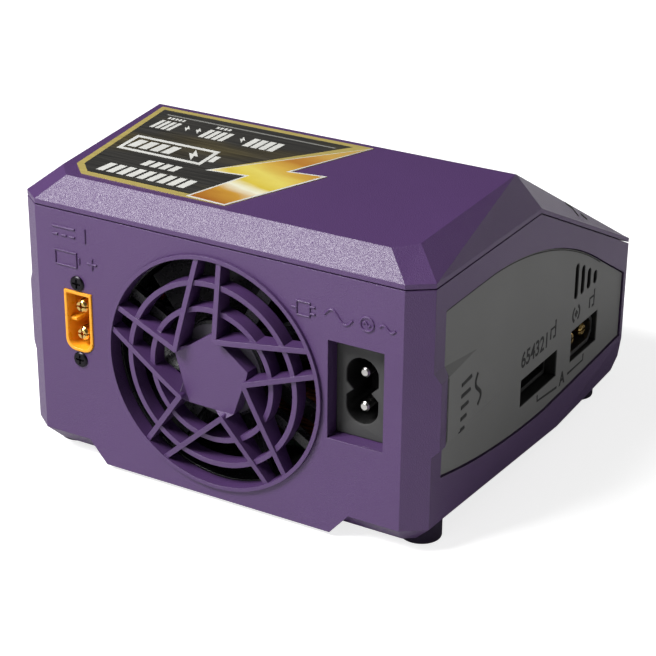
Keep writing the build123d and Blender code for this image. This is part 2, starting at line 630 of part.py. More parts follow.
def lead(points, radius, bend):
    """Round wire on straight runs joined by arcs; points are (x, station, z)."""
    path = FilletPolyline(*[(x, y_at(s), z) for x, s, z in points], radius=bend)
    start = Plane(origin=path @ 0, z_dir=path % 0)
    return sweep(start * Circle(radius), path=path)


# ---------------------------------------------------------------- boards
def make_power_board():
    board = box(-49.5, 49.5, 21.5, 101.0, POWER_BOARD_Z, POWER_BOARD_Z + BOARD_T)
    for x in (-POST_X, POST_X):
        board -= post(x, POST_STATIONS[0], 4.2, 0, 20)
    for x, s in BOARD_STUDS:
        board -= post(x, s, 1.6, 0, 20)
    return board


def make_output_board():
    board = box(-50.5, 50.5, 50.0, 114.0, OUTPUT_BOARD_Z, OUTPUT_BOARD_Z + BOARD_T)
    for x in (-1, 1):
        board -= box(x * (POST_X - 4.2), x * 60, POST_STATIONS[1] - 4.2, 120, 0, 30)
    for x, s in BOARD_STUDS:
        board -= post(x, s, 1.6, 0, 30)
    return board


def finned(x0, x1, s0, s1, z0, z1, foot, pitch, along_x):
    """Extruded heat sink: a foot plate with thin upright fins."""
    sink = box(x0, x1, s0, s1, z0, z0 + foot)
    span = (x1 - x0) if along_x else (s1 - s0)
    for i in range(int(span / pitch) + 1):
        p = i * pitch
        if along_x:
            sink += box(x0 + p, x0 + p + 1.0, s0, s1, z0, z1)
        else:
            sink += box(x0, x1, s0 + p, s0 + p + 1.0, z0, z1)
    return sink


def power_parts():
    """Parts standing on the power board."""
    z = POWER_BOARD_Z + BOARD_T
    core = box(-24, 8, 30.5, 44.5, z + 1.5, z + 27.5) - box(-19, 3, 29, 46, z + 6, z + 23)
    core += box(-12, -4, 30.5, 44.5, z + 5, z + 24)
    coil = box(-18.6, 2.6, 25.5, 49.5, z, z + 22.6) - box(-12, -4, 20, 60, z - 1, z + 30)
    coil -= box(-24, 8, 30.5, 44.5, z + 1.4, z + 6)
    coil = coil + box(-18.6, 2.6, 25.5, 30.4, z, z + 22.6) + box(-18.6, 2.6, 44.6, 49.5, z, z + 22.6)
    caps = []
    for x, s in ((17.5, 30.5), (32.5, 40.0)):
        caps.append(fillet((post(x, s, 7.8, z, z + 20)).edges().sort_by(Axis.Z)[-1], 1.0))
    sink = box(-34.2, -31.4, 33, 49.4, z, z + 30)
    for i in range(4):
        sink += box(-42.5, -33, 33.5 + 4.8 * i, 34.7 + 4.8 * i, z, z + 30)
    mosfets = []
    for s in (37.0, 45.0):
        mosfets.append(box(-31.4, -26.9, s - 3.4, s + 3.4, z + 3, z + 18))
    return core, coil, caps, sink, mosfets


def output_parts():
    """Parts standing on the output board."""
    z = OUTPUT_BOARD_Z + BOARD_T
    rings = []
    for x in (-17.0, 17.0):
        rings.append(post(x, 68.5, 10.0, z, z + 9) - post(x, 68.5, 4.2, z - 1, z + 10))
    sink = finned(-25, 25.0, 82, 96, z, z + 12, 2.4, 4.9, True)
    caps = [post(x, 103.5, 3.9, z, z + 11.5) for x in (-30, -20, 20, 30)]
    buzzer = post(0, 60, 5.8, z, z + 7.5) - post(0, 60, 1.0, z + 4, z + 9)
    plug = box(-24.5, -16.5, 53, 57.5, z, z + 6.5)
    usb = face_prism(Pos(0, USB_Z) * RectangleRounded(9.0, 3.3, 1.6), 112.0, 119.4)
    usb -= face_prism(Pos(0, USB_Z) * RectangleRounded(8.3, 2.6, 1.25), 113.0, 121)
    tongue = box(-3.3, 3.3, 113.0, 118.6, USB_Z - 0.35, USB_Z + 0.35)
    return rings, sink, caps, buzzer, plug, usb, tongue


def fasteners():
    """Spacers and screws that hold the two boards."""
    low, high = POWER_BOARD_Z + BOARD_T, OUTPUT_BOARD_Z
    spacers, screws = [], []
    for x, s in BOARD_STUDS:
        if s > 40:
            hexagon = Pos(x, y_at(s), low) * extrude(RegularPolygon(2.6, 6), high - low)
            spacers.append(hexagon - post(x, s, 1.2, high - 4.5, high + 1) + post(x, s, 1.1, 4.6, low))
            screws.append(post(x, s, 2.6, high + BOARD_T, high + BOARD_T + 1.8)
                          + post(x, s, 1.2, high - 4.0, high + BOARD_T))
        else:
            screws.append(post(x, s, 2.6, low, low + 1.8) + post(x, s, 1.1, 4.6, low))
    return spacers, screws


def cover_screws():
    screws = []
    for (s, top) in zip(POST_STATIONS, POST_TOPS):
        for x in (-POST_X, POST_X):
            screw = post(x, s, 2.55, top - 8.2, top - 6) + post(x, s, 1.25, top - 6.2, top + 6.2)
            screws.append(screw)
    return screws


# ---------------------------------------------------------------- controls
def make_wheel():
    """Knurled jog wheel, its fixed axle and the bracket and encoder beside it."""
    hub = SLOPE * Pos(0, WHEEL_AT, -WHEEL_DEPTH) * Rot(0, 90, 0)
    wheel = Cylinder(WHEEL_R, WHEEL_W)
    wheel = chamfer(wheel.edges().filter_by(GeomType.CIRCLE), 0.6)
    for k in range(24):
        wheel -= Rot(0, 0, 15 * k) * Pos(WHEEL_R + 0.1, 0, 0) * Cylinder(0.55, WHEEL_W + 2)
    wheel -= Cylinder(1.07, 20)
    axle = Cylinder(1.0, 13.0)
    bracket = None
    for x in (-5.1, 5.1):
        ear = slab_on(SLOPE, 1.6, 8.0, x, WHEEL_AT, -9.0, -3.2)
        bracket = ear if bracket is None else bracket + ear
    bracket -= hub * Cylinder(1.0, 20)
    encoder = slab_on(SLOPE, 5.0, 9.0, 9.2, WHEEL_AT, -9.0, -3.4)
    return hub * wheel, hub * axle, bracket.solids(), encoder


def make_button(x):
    w, h = BUTTON_SIZE
    cap = slab_on(SLOPE, w, h, x, WHEEL_AT, -3.6, 0.9, 2.9)
    cap = fillet(cap.faces().sort_by(Axis.Z)[-1].edges(), 0.5)
    return cap + slab_on(SLOPE, w + 2.4, h + 2.4, x, WHEEL_AT, -4.0, -3.0, 3.4)


def make_display():
    window = slab_on(SLOPE, WINDOW[0] - 0.3, WINDOW[1] - 0.3, 0, WINDOW_AT, -1.25, -0.05, 1.9)
    module = slab_on(SLOPE, 61.6, 37.6, 0, WINDOW_AT, -3.3, -1.25, 0.8)
    module += slab_on(SLOPE, 70.0, 43.0, 0, WINDOW_AT, -6.0, -3.2)
    board = slab_on(SLOPE, 82.0, 71.0, 0, -34.5, -10.6, -9.0)
    board -= slab_on(SLOPE, 8.2, 19.0, 0, WHEEL_AT, -12, -8)
    for x, y in STUDS:
        board -= SLOPE * Pos(x, y, -10) * Cylinder(1.4, 6)
    screws = [SLOPE * Pos(x, y, -11.5) * Cylinder(2.3, 1.8) + SLOPE * Pos(x, y, -8.4) * Cylinder(1.0, 4.6)
              for x, y in STUDS]
    switches = []
    for x in BUTTONS.values():
        switches.append(slab_on(SLOPE, 6.0, 6.0, x, WHEEL_AT, -9.0, -5.5)
                        + SLOPE * Pos(x, WHEEL_AT, -5.2) * Cylinder(1.7, 0.8))
    return window, module, board, screws, switches


# ---------------------------------------------------------------- feet and sticker
def make_feet():
    form = cut_underside(plan_prism(footprint(0.0), UNDER_Z, 40))
    feet = []
    for st in FOOT_STATIONS:
        for x in (-FOOT_X, FOOT_X):
            foot = post(x, st, FOOT_R, 0, 9) - form
            feet.append(foot + post(x * 0.985, st, 1.45, 0.5, 3.3))
    return feet


STICKER = [(-45.8, 11.3), (-41.2, 6.9), (-0.4, 6.6), (12.2, 31.4), (3.0, 30.1), (13.6, 51.3), (-48.6, 51.3)]


def make_sticker():
    outline = Polyline(*[(u, (s - TOP_REAR[0]) / TOP_COS) for u, s in STICKER], close=True)
    return TOP * extrude(make_face(outline), 0.25)


# ---------------------------------------------------------------- write the nodes
def gather(solids):
    """One node from several separate solids."""
    flat = []
    for item in solids:
        flat += item.solids()
    return Compound(children=flat)


def build():
    nodes = {"base_shell": make_base(), "top_cover": make_cover()}
    for s, side in ((-1, "a"), (1, "b")):
        nodes["side_panel_" + side] = make_panel(s)
        nodes["output_socket_" + side], pins = make_output(s)
        nodes["output_pins_" + side] = gather(pins)
        nodes["balance_socket_" + side], pins = make_balance(s)
        nodes["balance_pins_" + side] = gather(pins)

    nodes["fan_grille"] = make_grille()
    frame, bearing, stator, shaft, rotor, label, screws = make_fan()
    nodes["fan_frame"], nodes["fan_bearing"], nodes["fan_stator"] = frame, bearing, stator
    nodes["fan_shaft"], nodes["fan_rotor"], nodes["fan_label"] = shaft, rotor, label
    nodes["fan_screws"] = gather(screws)

    body, pins, screws = make_dc_inlet()
    nodes["dc_inlet_housing"] = body
    nodes["dc_inlet_pins"] = gather(pins)
    nodes["dc_inlet_screws"] = gather(screws)
    nodes["ac_inlet_body"], pins = make_ac_inlet()
    nodes["ac_inlet_pins"] = gather(pins)

    nodes["power_board"] = make_power_board()
    nodes["output_board"] = make_output_board()
    core, coil, caps, sink, mosfets = power_parts()
    nodes["transformer_core"], nodes["transformer_coil"] = core, coil
    nodes["bulk_capacitors"] = gather(caps)
    nodes["power_heat_sink"] = sink
    nodes["power_transistors"] = gather(mosfets)
    rings, sink, caps, buzzer, plug, usb, tongue = output_parts()
    nodes["toroid_inductors"] = gather(rings)
    nodes["output_heat_sink"] = sink
    nodes["output_capacitors"] = gather(caps)
    nodes["buzzer"], nodes["fan_plug"] = buzzer, plug
    nodes["usb_socket"], nodes["usb_tongue"] = usb, tongue
    spacers, board_screws = fasteners()
    nodes["board_spacers"] = gather(spacers)
    nodes["cover_screws"] = gather(cover_screws())

    wheel, axle, bracket, encoder = make_wheel()
    nodes["jog_wheel"], nodes["jog_wheel_axle"] = wheel, axle
    nodes["jog_wheel_bracket"] = gather(bracket)
    nodes["jog_wheel_encoder"] = encoder - axle
    for name, x in BUTTONS.items():
        nodes[name + "_button"] = make_button(x)
    window, module, board, screws, switches = make_display()
    nodes["display_window"], nodes["display_module"] = window, module
    nodes["display_board"] = board
    nodes["board_screws"] = gather(board_screws + screws)
    nodes["button_switches"] = gather(switches)

    nodes["rubber_feet"] = gather(make_feet())
    nodes["top_sticker"] = make_sticker()

    # internal leads, each from face to face
    ux, uz = rear_polar(12.8, WIRE_ANGLE)
    tx, tz = rear_polar(36.6, WIRE_ANGLE)
    for name, off in (("red", -0.8), ("black", 0.8)):
        nodes["fan_lead_" + name] = lead(
            [(ux + off, 5.5, uz), (tx + off, 5.5, tz), (tx + off, 24.0, tz - 1.0),
             (-20.5 + off, 44.0, 50.0), (-20.5 + off, 55.0, 40.0), (-20.5 + off, 55.0, 24.4)], 0.6, 2.6)
        z = DC_AT[1] + off * 4.5
        end = 27.5 + off * 2.6
        nodes["dc_lead_" + name] = lead(
            [(DC_AT[0], 16.0, z), (DC_AT[0], 26.0, z), (end, 54.0 + off, z), (end, 54.0 + off, 17.9)], 1.4, 4.2)
        z = AC_SOCKET[1] + off * 5.375
        nodes["ac_lead_" + ("live" if name == "red" else "neutral")] = lead(
            [(AC_SOCKET[0], 22.5, z), (AC_SOCKET[0], 27.5 + off * 2, z), (AC_SOCKET[0], 27.5 + off * 2, 9.6)],
            1.0, 2.4)
    return nodes


def main():
    os.makedirs("parts", exist_ok=True)
    for name, solid in build().items():
        export_step(solid, os.path.join("parts", name + ".step"))
        print(name, round(solid.volume, 1))


main()
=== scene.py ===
"""Looks for the two-channel balance battery charger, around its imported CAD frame.

Metres, in the row frame: +Z up, the fan and inlets face +Y, channel A's ports face -X.
Outline points of pieces are in millimetres, in the plane that each piece lies on.
"""

import json
import math

import bmesh
import bpy
from mathutils import Matrix, Vector
from mathutils.bvhtree import BVHTree

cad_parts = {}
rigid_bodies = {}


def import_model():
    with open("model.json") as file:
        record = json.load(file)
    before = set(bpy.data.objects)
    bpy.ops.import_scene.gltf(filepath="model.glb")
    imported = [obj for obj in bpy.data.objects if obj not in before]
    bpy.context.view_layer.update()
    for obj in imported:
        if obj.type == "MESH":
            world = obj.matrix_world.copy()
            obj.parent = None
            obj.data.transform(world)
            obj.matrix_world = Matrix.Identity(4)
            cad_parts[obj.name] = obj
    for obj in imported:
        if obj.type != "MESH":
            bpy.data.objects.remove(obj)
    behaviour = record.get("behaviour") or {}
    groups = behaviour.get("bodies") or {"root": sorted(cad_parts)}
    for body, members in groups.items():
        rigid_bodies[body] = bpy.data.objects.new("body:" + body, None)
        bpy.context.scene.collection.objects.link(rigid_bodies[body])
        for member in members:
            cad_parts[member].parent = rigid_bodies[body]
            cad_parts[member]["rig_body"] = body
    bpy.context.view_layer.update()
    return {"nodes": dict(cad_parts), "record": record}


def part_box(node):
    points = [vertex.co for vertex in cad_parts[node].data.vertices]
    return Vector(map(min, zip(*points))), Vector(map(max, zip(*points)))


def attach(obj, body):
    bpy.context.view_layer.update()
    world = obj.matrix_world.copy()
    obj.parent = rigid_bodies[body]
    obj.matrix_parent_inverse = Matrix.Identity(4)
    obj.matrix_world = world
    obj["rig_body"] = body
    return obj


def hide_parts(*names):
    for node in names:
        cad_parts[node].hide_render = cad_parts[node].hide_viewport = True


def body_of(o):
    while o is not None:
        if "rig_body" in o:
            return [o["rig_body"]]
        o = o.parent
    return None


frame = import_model()
NODES = frame["nodes"]
MM = 0.001

# ---------------------------------------------------------------- camera, solved from the photo's perspective
camera_data = bpy.data.cameras.new("camera")
camera_data.lens = 106.72
camera_data.clip_start = 0.01
camera = bpy.data.objects.new("camera", camera_data)
bpy.context.scene.collection.objects.link(camera)
view_ahead = Vector((0.460344, -0.786143, -0.412386))
view_right = Vector((-0.861118, -0.508345, 0.007812))
camera.rotation_euler = Matrix((view_right, view_right.cross(view_ahead), -view_ahead)).transposed().to_euler()
camera.location = (-0.229737, 0.397776, 0.231206)
bpy.context.scene.camera = camera
bpy.context.scene.view_settings.view_transform = "Standard"


# ---------------------------------------------------------------- materials
def srgb(r, g, b):
    """Linear colour from 0-255 display values."""
    def lin(v):
        v /= 255.0
        return v / 12.92 if v <= 0.04045 else ((v + 0.055) / 1.055) ** 2.4
    return (lin(r), lin(g), lin(b), 1.0)


def scaled(colour, k):
    """A colour made k times as bright."""
    return tuple(min(1.0, c * k) for c in colour[:3]) + (1.0,)


class Nodes:
    """Short names for building a node tree."""

    def __init__(self, name):
        self.material = bpy.data.materials.new(name)
        self.material.use_nodes = True
        self.tree = self.material.node_tree
        self.bsdf = self.tree.nodes["Principled BSDF"]
        self.coords = self.add("ShaderNodeTexCoord").outputs["Object"]

    def add(self, kind, **values):
        node = self.tree.nodes.new(kind)
        for key, value in values.items():
            setattr(node, key, value)
        return node

    def link(self, a, b):
        self.tree.links.new(a, b)

    def noise(self, scale, detail=2.0, rough=0.5, stretch=None):
        node = self.add("ShaderNodeTexNoise")
        node.inputs["Scale"].default_value = scale
        node.inputs["Detail"].default_value = detail
        node.inputs["Roughness"].default_value = rough
        source = self.coords
        if stretch:
            mapping = self.add("ShaderNodeMapping")
            mapping.inputs["Scale"].default_value = stretch
            self.link(self.coords, mapping.inputs["Vector"])
            source = mapping.outputs["Vector"]
        self.link(source, node.inputs["Vector"])
        return node.outputs["Fac"]

    def remap(self, value, low, high, out_low, out_high):
        node = self.add("ShaderNodeMapRange")
        for key, v in (("From Min", low), ("From Max", high), ("To Min", out_low), ("To Max", out_high)):
            node.inputs[key].default_value = v
        self.link(value, node.inputs["Value"])
        return node.outputs["Result"]

    def mix(self, factor, a, b):
        node = self.add("ShaderNodeMix", data_type="RGBA")
        if isinstance(factor, float):
            node.inputs[0].default_value = factor
        else:
            self.link(factor, node.inputs[0])
        for slot, value in ((6, a), (7, b)):
            if isinstance(value, tuple):
                node.inputs[slot].default_value = value
            else:
                self.link(value, node.inputs[slot])
        return node.outputs[2]

    def along(self, start, end):
        """0 at start to 1 at end, points in the row frame."""
        a, d = Vector(start), Vector(end) - Vector(start)
        sub = self.add("ShaderNodeVectorMath", operation="SUBTRACT")
        sub.inputs[1].default_value = a
        self.link(self.coords, sub.inputs[0])
        dot = self.add("ShaderNodeVectorMath", operation="DOT_PRODUCT")
        dot.inputs[1].default_value = d / d.length_squared
        self.link(sub.outputs["Vector"], dot.inputs[0])
        return dot.outputs["Value"]

    def ramp(self, value, *stops):
        node = self.add("ShaderNodeValToRGB")
        elements = node.color_ramp.elements
        for i, (at, colour) in enumerate(stops):
            e = elements[i] if i < 2 else elements.new(at)
            e.position = at
            e.color = colour
        self.link(value, node.inputs["Fac"])
        return node.outputs["Color"]

    def bump(self, height, distance, strength=1.0, below=None):
        node = self.add("ShaderNodeBump")
        node.inputs["Distance"].default_value = distance
        node.inputs["Strength"].default_value = strength
        self.link(height, node.inputs["Height"])
        if below:
            self.link(below, node.inputs["Normal"])
        return node.outputs["Normal"]

    def set(self, **values):
        for key, value in values.items():
            self.bsdf.inputs[key.replace("_", " ")].default_value = value


EDGE_RADIUS = 0.00022  # rounding of moulded edges, metres


def moulded(name, colour, rough, grain, depth, vary=0.06, specular=0.5, painted_shade_within=0.0, axis="X"):
    """Injection-moulded plastic: spark-eroded grain, faint flow marks and softly rounded edges.

    Given a half width in millimetres, the colour is painted darker nearer the middle plane than that: painted
    shade inside slots, port walls and gaps."""
    n = Nodes(name)
    broad = n.noise(38.0, 3.0)
    fine = n.noise(grain, 1.5, 0.6)
    tint = n.mix(n.remap(broad, 0.35, 0.65, 0.0, 1.0), scaled(colour, 1 - vary), scaled(colour, 1 + vary))
    speck = n.mix(n.remap(fine, 0.3, 0.75, 0.0, 1.0), scaled(colour, 0.88), scaled(colour, 1 + vary))
    shade = n.mix(0.45, tint, speck)
    # painted shade: the colour falls to a tenth of its brightness deeper in, as the shade inside slots, port
    # walls and gaps
    if painted_shade_within:
        parts = n.add("ShaderNodeSeparateXYZ")
        n.link(n.coords, parts.inputs[0])
        reach = n.add("ShaderNodeMath", operation="ABSOLUTE")
        n.link(parts.outputs[axis], reach.inputs[0])
        outside = n.remap(reach.outputs[0], (painted_shade_within - 0.35) * MM, painted_shade_within * MM, 0.0, 1.0)
        shade = n.mix(outside, scaled(colour, 0.1), shade)
    n.link(shade, n.bsdf.inputs["Base Color"])
    n.link(n.remap(fine, 0.3, 0.7, rough - 0.06, rough + 0.08), n.bsdf.inputs["Roughness"])
    soft = n.add("ShaderNodeBevel", samples=4)
    soft.inputs["Radius"].default_value = EDGE_RADIUS
    low = n.bump(n.noise(70.0, 1.0), depth, 0.25, soft.outputs["Normal"])
    n.link(n.bump(fine, depth, 1.0, low), n.bsdf.inputs["Normal"])
    n.set(Specular_IOR_Level=specular)
    return n.material


def metal(name, colour, rough):
    """Metal with a fine directional finish and duller patches."""
    n = Nodes(name)
    lines = n.noise(900.0, 3.0, 0.6, (1.0, 1.0, 30.0))
    dull = n.remap(n.noise(220.0, 3.0), 0.35, 0.7, 0.0, 1.0)
    n.link(n.mix(dull, colour, scaled(colour, 0.8)), n.bsdf.inputs["Base Color"])
    n.link(n.remap(lines, 0.3, 0.7, rough * 0.8, rough * 1.25), n.bsdf.inputs["Roughness"])
    n.link(n.bump(lines, 0.000004, 0.7), n.bsdf.inputs["Normal"])
    n.set(Metallic=1.0)
    return n.material


def board(name):
    """Solder mask over copper tracks."""
    n = Nodes(name)
    tracks = n.add("ShaderNodeTexBrick")
    tracks.inputs["Scale"].default_value = 160.0
    tracks.inputs["Mortar Size"].default_value = 0.06
    tracks.inputs["Color1"].default_value = srgb(14, 74, 44)
    tracks.inputs["Color2"].default_value = srgb(18, 86, 50)
    tracks.inputs["Mortar"].default_value = srgb(9, 52, 32)
    n.link(n.coords, tracks.inputs["Vector"])
    n.link(tracks.outputs["Color"], n.bsdf.inputs["Base Color"])
    n.link(n.bump(tracks.outputs["Fac"], 0.00003, 0.5), n.bsdf.inputs["Normal"])
    n.link(n.remap(n.noise(400.0), 0.3, 0.7, 0.25, 0.4), n.bsdf.inputs["Roughness"])
    return n.material


def winding(name, colour, turns):
    """Enamelled wire laid in turns, painted darker in the grooves between turns as painted shade."""
    n = Nodes(name)
    bands = n.add("ShaderNodeTexWave", wave_type="BANDS", bands_direction="Z")
    bands.inputs["Scale"].default_value = turns
    bands.inputs["Distortion"].default_value = 0.6
    n.link(n.coords, bands.inputs["Vector"])
    # the low band values are the grooves: their darker colour is painted shade
    n.link(n.mix(bands.outputs["Fac"], scaled(colour, 0.45), colour), n.bsdf.inputs["Base Color"])
    n.link(n.bump(bands.outputs["Fac"], 0.0003, 0.8), n.bsdf.inputs["Normal"])
    n.set(Metallic=0.6, Roughness=0.35)
    return n.material


def film(name, colour, rough, vary, stretch=(1.0, 1.0, 1.0), metallic=0.0):
    """Printed film with a brushed or plain finish."""
    n = Nodes(name)
    lines = n.noise(300.0, 4.0, 0.6, stretch)
    n.link(n.mix(n.remap(lines, 0.3, 0.7, 0.0, 1.0), scaled(colour, 1 - vary), scaled(colour, 1 + vary)),
           n.bsdf.inputs["Base Color"])
    n.link(n.remap(lines, 0.3, 0.7, rough - 0.05, rough + 0.07), n.bsdf.inputs["Roughness"])
    n.link(n.bump(lines, 0.000006, 0.5), n.bsdf.inputs["Normal"])
    n.set(Metallic=metallic)
    return n.material


def window_material():
    """Smoked glossy window over the display."""
    n = Nodes("window")
    n.link(n.remap(n.noise(60.0), 0.3, 0.7, 0.04, 0.07), n.bsdf.inputs["Roughness"])
    n.link(n.mix(n.noise(25.0), srgb(10, 10, 12), srgb(16, 16, 19)), n.bsdf.inputs["Base Color"])
    n.set(Coat_Weight=0.5, Coat_Roughness=0.03, Alpha=0.9)
    return n.material


def field_material():
    """Dark brushed film with a warm sheen across the middle of the label."""
    n = Nodes("sticker_field")
    lines = n.noise(260.0, 4.0, 0.6, (0.25, 9.0, 1.0))
    brush = n.remap(lines, 0.3, 0.7, 0.0, 1.0)
    sheen = n.remap(n.noise(34.0, 2.0, 0.5, (0.6, 2.2, 1.0)), 0.45, 0.7, 0.0, 0.85)
    brushed = n.mix(brush, srgb(38, 38, 38), srgb(74, 72, 68))
    warm = n.mix(brush, srgb(62, 54, 32), srgb(112, 100, 60))
    n.link(n.mix(sheen, brushed, warm), n.bsdf.inputs["Base Color"])
    n.link(n.remap(lines, 0.3, 0.7, 0.3, 0.42), n.bsdf.inputs["Roughness"])
    n.link(n.bump(lines, 0.000006, 0.5), n.bsdf.inputs["Normal"])
    n.set(Metallic=0.3, Coat_Weight=0.25, Coat_Roughness=0.12)
    return n.material


def flash_material(start, end):
    """Gold foil whose tone changes from start to end, points in the row frame."""
    n = Nodes("flash_gold")
    shift = n.add("ShaderNodeMath", operation="ADD")
    n.link(n.along(start, end), shift.inputs[0])
    n.link(n.remap(n.noise(60.0, 3.0, 0.5, (0.5, 2.0, 1.0)), 0.3, 0.7, -0.04, 0.04), shift.inputs[1])
    tint = n.ramp(shift.outputs[0],
                  (0.0, srgb(176, 106, 36)), (0.14, srgb(214, 160, 60)), (0.235, srgb(255, 253, 226)),
                  (0.32, srgb(232, 206, 72)), (0.42, srgb(244, 226, 110)), (0.50, srgb(226, 184, 78)),
                  (0.62, srgb(196, 132, 52)), (0.8, srgb(214, 170, 84)), (1.0, srgb(206, 176, 96)))
    n.link(tint, n.bsdf.inputs["Base Color"])
    n.link(n.remap(n.noise(500.0), 0.3, 0.7, 0.3, 0.42), n.bsdf.inputs["Roughness"])
    n.set(Metallic=0.25, Coat_Weight=0.3, Coat_Roughness=0.15)
    return n.material


# moulded: name, colour, roughness, grain per metre, grain depth in metres, variation of colour
M = {
    "shell_purple": moulded("shell_purple", srgb(80, 54, 100), 0.36, 4200.0, 0.00011, 0.05, specular=0.6),
    # panel grey, with painted shade deeper inside its slots, port openings and the gap round it
    "panel_grey": moulded("panel_grey", srgb(112, 112, 111), 0.5, 5200.0, 0.00003, 0.05, specular=0.4,
                          painted_shade_within=55.12),
    "fan_black": moulded("fan_black", srgb(26, 26, 28), 0.3, 1800.0, 0.000008, 0.1),
    "connector_yellow": moulded("connector_yellow", srgb(246, 166, 36), 0.3, 900.0, 0.000006, 0.05),
    "connector_black": moulded("connector_black", srgb(24, 24, 24), 0.5, 2200.0, 0.00001, 0.08),
    # inlet grey, with painted shade deeper inside the inlet's recess
    "inlet_grey": moulded("inlet_grey", srgb(62, 62, 62), 0.62, 4200.0, 0.00003, 0.08, specular=0.35,
                          painted_shade_within=54.45, axis="Y"),
    "connector_white": moulded("connector_white", srgb(226, 222, 208), 0.45, 1600.0, 0.00001, 0.04),
    "component_black": moulded("component_black", srgb(24, 24, 25), 0.55, 2000.0, 0.00001, 0.1),
    "capacitor_sleeve": moulded("capacitor_sleeve", srgb(24, 30, 60), 0.25, 700.0, 0.000006, 0.1),
    "ferrite": moulded("ferrite", srgb(46, 46, 48), 0.7, 1200.0, 0.00003, 0.12),
    "control_black": moulded("control_black", srgb(26, 26, 28), 0.42, 2400.0, 0.00001, 0.08),
    "foot_rubber": moulded("foot_rubber", srgb(40, 31, 50), 0.8, 1500.0, 0.00003, 0.1, specular=0.25),
    "screen": moulded("screen", srgb(14, 15, 18), 0.2, 300.0, 0.000002, 0.1),
    "lead_red": moulded("lead_red", srgb(214, 30, 26), 0.4, 500.0, 0.00001, 0.06),
    "lead_black": moulded("lead_black", srgb(22, 22, 22), 0.42, 500.0, 0.00001, 0.08),
    "lead_brown": moulded("lead_brown", srgb(96, 58, 34), 0.42, 500.0, 0.00001, 0.08),
    "lead_blue": moulded("lead_blue", srgb(34, 84, 168), 0.42, 500.0, 0.00001, 0.08),
    "gold_contact": metal("gold_contact", srgb(236, 200, 122), 0.2),
    "nickel_contact": metal("nickel_contact", srgb(226, 224, 220), 0.2),
    "screw_black": metal("screw_black", srgb(52, 50, 54), 0.34),
    "steel": metal("steel", srgb(196, 198, 200), 0.3),
    "aluminium": metal("aluminium", srgb(206, 208, 212), 0.34),
    "bearing_bronze": metal("bearing_bronze", srgb(176, 128, 82), 0.35),
    "copper_winding": winding("copper_winding", srgb(150, 84, 48), 260.0),
    "board_green": board("board_green"),
    "label_grey": film("label_grey", srgb(74, 70, 80), 0.4, 0.08),
    "sticker_print": film("sticker_print", srgb(196, 178, 104), 0.4, 0.1, (0.6, 6.0, 1.0), metallic=0.35),
    "window": window_material(),
    "field": field_material(),
    "white_print": film("white_print", srgb(205, 205, 200), 0.45, 0.05),
    "grey_print": film("grey_print", srgb(128, 128, 124), 0.45, 0.05),
    "dark_print_and_shade": film("dark_print_and_shade", srgb(16, 16, 17), 0.7, 0.1),
}
for entry in frame["record"]["subparts"]:
    mesh = NODES[entry["node"]].data
    mesh.materials.clear()
    mesh.materials.append(M[entry["material_slot"]])
NODES["ac_inlet_body"].data.materials[0] = M["inlet_grey"]


# ---------------------------------------------------------------- pieces
def evaluated_mesh(obj):
    """A plain mesh of obj with its modifiers applied; obj itself is removed."""
    bpy.context.view_layer.update()
    mesh = bpy.data.meshes.new_from_object(obj.evaluated_get(bpy.context.evaluated_depsgraph_get()))
    data = obj.data
    bpy.data.objects.remove(obj)
    if isinstance(data, bpy.types.Mesh):
        bpy.data.meshes.remove(data)
    else:
        bpy.data.curves.remove(data)
    return mesh


def piece(name, mesh, material, body="charger", smooth=30.0):
    """A mesh in the row frame as a piece of the object."""
    mesh.name = name
    mesh.materials.clear()
    mesh.materials.append(material)
    if smooth:
        mesh.polygons.foreach_set("use_smooth", [True] * len(mesh.polygons))
        mesh.set_sharp_from_angle(angle=math.radians(smooth))
    obj = bpy.data.objects.new(name, mesh)
    bpy.context.scene.collection.objects.link(obj)
    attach(obj, body)
    return obj


def temporary(name, data):
    """An object that only holds data until evaluated_mesh takes it."""
    obj = bpy.data.objects.new(name, data)
    bpy.context.scene.collection.objects.link(obj)
    return obj


ROUNDED = ("dc_inlet_housing", "ac_inlet_body", "rubber_feet", "channel_button", "back_button", "jog_wheel")
ROUND_WIDTH = 0.3 * MM
ROUND_FROM = math.radians(25.0)  # edges that turn less than this stay as they are
SHORTEST_ROUNDED = 0.2 * MM
FACE_SHARE = 0.3  # how much of a narrow face a rounding may take


def rounded_copy(node):
    """Replace a CAD node by a copy whose outer edges are rounded off."""
    bm = bmesh.new()
    bm.from_mesh(NODES[node].data)
    bmesh.ops.remove_doubles(bm, verts=bm.verts, dist=2e-6)
    bmesh.ops.dissolve_limit(bm, angle_limit=math.radians(0.5), verts=bm.verts, edges=bm.edges)
    bm.normal_update()
    tree = BVHTree.FromBMesh(bm)
    weight = bm.edges.layers.float.new("bevel_weight_edge")
    for e in bm.edges:
        if len(e.link_faces) != 2 or e.calc_face_angle_signed(0.0) < ROUND_FROM:
            continue
        length = e.calc_length()
        if length < SHORTEST_ROUNDED:
            continue
        out = (e.link_faces[0].normal + e.link_faces[1].normal).normalized()
        middle = (e.verts[0].co + e.verts[1].co) / 2
        if tree.ray_cast(middle + out * 2e-5, out)[0] is not None:
            continue
        room = min(f.calc_area() / length for f in e.link_faces) * FACE_SHARE
        e[weight] = min(1.0, room / ROUND_WIDTH)
    mesh = bpy.data.meshes.new(node)
    bm.to_mesh(mesh)
    bm.free()
    temp = temporary(node, mesh)
    bevel = temp.modifiers.new("bevel", "BEVEL")
    bevel.limit_method = "WEIGHT"
    bevel.width = ROUND_WIDTH
    bevel.segments = 2
    bevel.use_clamp_overlap = False
    mesh = evaluated_mesh(temp)
    body = body_of(NODES[node])[0]
    obj = piece(node + "_body", mesh, NODES[node].data.materials[0], body, 24.0)
    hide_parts(node)


